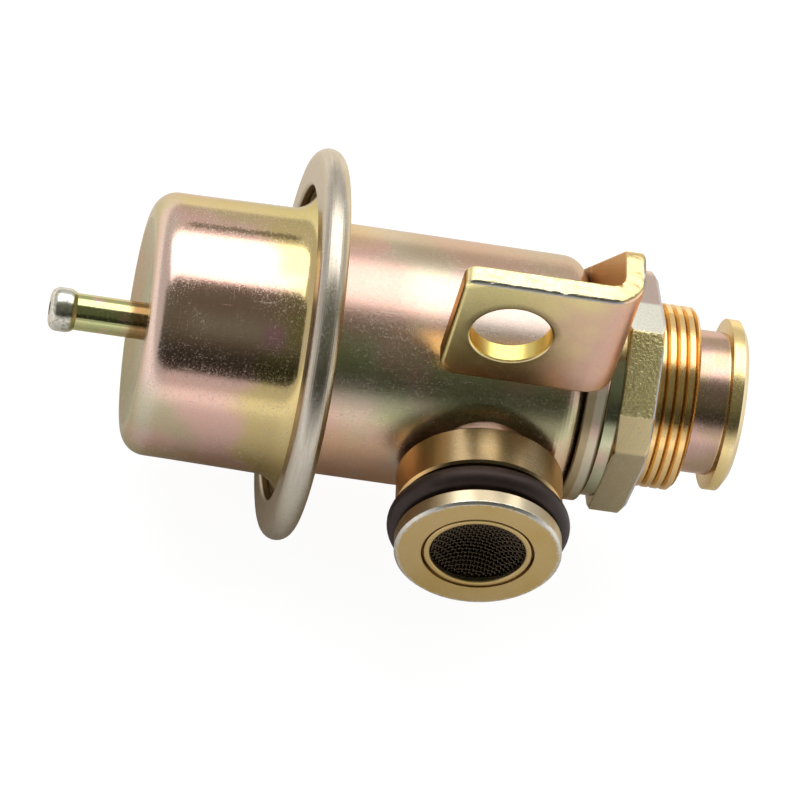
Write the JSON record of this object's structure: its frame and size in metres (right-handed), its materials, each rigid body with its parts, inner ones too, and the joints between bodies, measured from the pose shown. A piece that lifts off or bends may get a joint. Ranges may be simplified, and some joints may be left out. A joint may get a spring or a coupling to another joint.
{
  "type": "fuel pressure regulator",
  "caption": "Steel fuel pressure regulator with a spring can rolled to a drawn body, side inlet port with O-ring and screen, threaded outlet, bolt bracket and vacuum nipple.",
  "frame": {"origin": "centre of the inlet port's end face", "axes": "-Y is the way the inlet port points; +X runs along the main axis from the vacuum nipple to the outlet; +Z is the side that the bracket's tab stands on"},
  "size_m": [0.0889, 0.0546, 0.0583],
  "materials": {
    "plated_nipple": "yellow zinc plate, glossy",
    "plated_can": "yellow zinc plate with rose and green tints",
    "plated_body": "yellow zinc plate with rose and green tints",
    "plated_port": "yellow zinc plate over turned steel",
    "plated_bracket": "yellow zinc plate, rose tint",
    "plated_fitting": "yellow zinc plate over turned steel",
    "plain_steel": "bare pressed steel",
    "spring_steel": "bare spring wire",
    "polished_steel": "polished ball",
    "seat_brass": "turned",
    "o_ring_rubber": "matte",
    "diaphragm_rubber": "matte, fabric backed",
    "screen_wire": "woven wire"
  },
  "bodies": {
    "housing": {"vacuum_nipple": "plated_nipple", "spring_can": "plated_can", "spring_cup": "plain_steel", "pressure_spring": "spring_steel", "diaphragm": "diaphragm_rubber", "valve_seat": "seat_brass", "return_tube": "plain_steel", "body_shell": "plated_body", "inlet_port": "plated_port", "inlet_o_ring": "o_ring_rubber", "screen_ring": "plated_port", "inlet_screen": "screen_wire", "mounting_bracket": "plated_bracket", "outlet_fitting": "plated_fitting"},
    "valve": {"upper_plate": "plain_steel", "lower_plate": "plain_steel", "valve_holder": "plain_steel", "ball_spring": "spring_steel", "valve_ball": "polished_steel", "ball_retainer": "plain_steel"}
  },
  "joints": [
    {"name": "valve_lift", "type": "slide", "parent": "housing", "child": "valve", "axis": [-1, 0, 0], "range_m": [0, 0.001], "stiffness_N_per_m": 200, "deforming": ["pressure_spring", "diaphragm"]}
  ]
}
